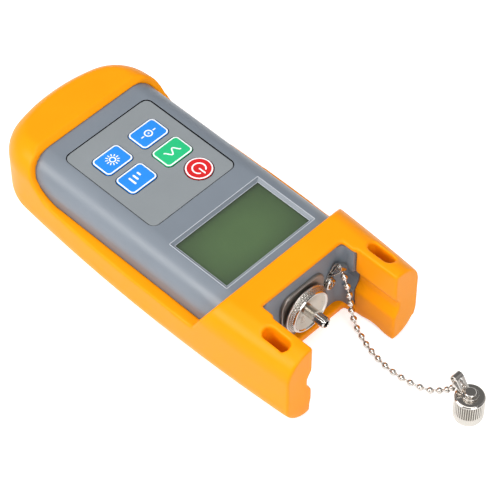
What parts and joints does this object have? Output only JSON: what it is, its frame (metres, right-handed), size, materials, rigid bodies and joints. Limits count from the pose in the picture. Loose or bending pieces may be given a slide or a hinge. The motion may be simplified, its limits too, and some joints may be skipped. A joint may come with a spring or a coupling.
{
  "type": "optical power meter",
  "caption": "Handheld optical power meter in a rubber boot, with keypad, display, screw-on fibre adapter and a dust cap on a ball chain.",
  "frame": {"origin": "on the underside's rest plane, under the middle of the meter between keypad and display", "axes": "+X across the face, +Y along the meter to its connector end, +Z out of the face"},
  "size_m": [0.0674, 0.1905, 0.034],
  "materials": {
    "boot_rubber": "satin orange thermoplastic rubber",
    "case_plastic": "fine matt grey moulding",
    "cover_plastic": "matt grey moulding",
    "keypad_film": "satin printed film",
    "key_blue": "satin blue with a white edge",
    "key_green": "satin green with a white edge",
    "key_red": "satin red with a white edge",
    "window_clear": "clear pane",
    "display_olive": "unlit olive display",
    "backlight_white": "white light guide",
    "board_green": "solder mask",
    "switch_black": "black",
    "nickel_satin": "satin nickel",
    "nickel_bright": "bright nickel",
    "flange_grey": "grey bead-blasted",
    "screw_steel": "zinc plated",
    "cell_jacket": "printed foil jacket",
    "contact_steel": "nickel plated spring steel",
    "detector_gold": "gold plated can"
  },
  "bodies": {
    "meter": {"protective_boot": "boot_rubber", "front_case": "case_plastic", "rear_cover": "cover_plastic", "cover_screws": "screw_steel", "battery_cell_1": "cell_jacket", "battery_cell_2": "cell_jacket", "battery_cell_3": "cell_jacket", "battery_contacts": "contact_steel", "main_board": "board_green", "board_screws": "screw_steel", "key_switches": "switch_black", "keypad_sheet": "keypad_film", "display_window": "window_clear", "display_panel": "display_olive", "backlight_block": "backlight_white", "port_flange": "flange_grey", "port_nut": "nickel_satin", "detector_can": "detector_gold", "detector_board": "board_green", "anchor_strap": "nickel_bright", "anchor_screw": "nickel_bright", "chain_drop": "nickel_bright"},
    "battery_door": {"battery_door": "cover_plastic"},
    "key_reference": {"key_reference": "key_blue"},
    "key_backlight": {"key_backlight": "key_blue"},
    "key_wavelength": {"key_wavelength": "key_green"},
    "key_decibel": {"key_decibel": "key_blue"},
    "key_power": {"key_power": "key_red"},
    "adapter_sleeve": {"adapter_sleeve": "nickel_bright"},
    "adapter_ring": {"adapter_ring": "nickel_satin"},
    "chain_run": {"chain_run": "nickel_bright"},
    "chain_tail": {"chain_tail": "nickel_bright"},
    "cap_strap": {"cap_strap": "nickel_bright"},
    "dust_cap": {"dust_cap": "nickel_satin", "cap_stud": "nickel_bright"}
  },
  "joints": [
    {"name": "key_power_press", "type": "slide", "parent": "meter", "child": "key_power", "axis": [0, 0, -1], "range_m": [0, 0.00035], "stiffness_N_per_m": 3000},
    {"name": "key_wavelength_press", "type": "slide", "parent": "meter", "child": "key_wavelength", "axis": [0, 0, -1], "range_m": [0, 0.00035], "stiffness_N_per_m": 3000},
    {"name": "key_reference_press", "type": "slide", "parent": "meter", "child": "key_reference", "axis": [0, 0, -1], "range_m": [0, 0.00035], "stiffness_N_per_m": 3000},
    {"name": "key_backlight_press", "type": "slide", "parent": "meter", "child": "key_backlight", "axis": [0, 0, -1], "range_m": [0, 0.00035], "stiffness_N_per_m": 3000},
    {"name": "key_decibel_press", "type": "slide", "parent": "meter", "child": "key_decibel", "axis": [0, 0, -1], "range_m": [0, 0.00035], "stiffness_N_per_m": 3000},
    {"name": "battery_door_tilt", "type": "hinge", "parent": "meter", "child": "battery_door", "pos_m": [0, -0.05835, 0.003], "axis": [-1, 0, 0], "range_deg": [0, 60]},
    {"name": "sleeve_travel", "type": "slide", "parent": "meter", "child": "adapter_sleeve", "axis": [0, 1, 0], "range_m": [0, 0.00337]},
    {"name": "ring_unscrew", "type": "hinge", "parent": "adapter_sleeve", "child": "adapter_ring", "pos_m": [0, 0.049, 0.01685], "axis": [0, 1, 0], "range_deg": [0, 1620]},
    {"name": "chain_run_sway", "type": "hinge", "parent": "meter", "child": "chain_run", "pos_m": [-0.01339, 0.0618, 0.0012], "axis": [0, 0, 1], "range_deg": [-30, 30]},
    {"name": "chain_tail_sway", "type": "hinge", "parent": "chain_run", "child": "chain_tail", "pos_m": [-0.01061, 0.08651, 0.00124], "axis": [0, 0, 1], "range_deg": [-35, 35]},
    {"name": "cap_strap_swivel", "type": "hinge", "parent": "chain_tail", "child": "cap_strap", "pos_m": [-0.0145, 0.1024, 0.0155], "axis": [0, 0, 1], "range_deg": [-25, 25]},
    {"name": "dust_cap_spin", "type": "hinge", "parent": "cap_strap", "child": "dust_cap", "pos_m": [-0.0144, 0.1085, 0.0115], "axis": [0, 0, 1], "continuous": true}
  ],
  "couplings": [
    {"joint": "ring_unscrew", "follows": "sleeve_travel", "rad_per_m": 8377.6}
  ]
}
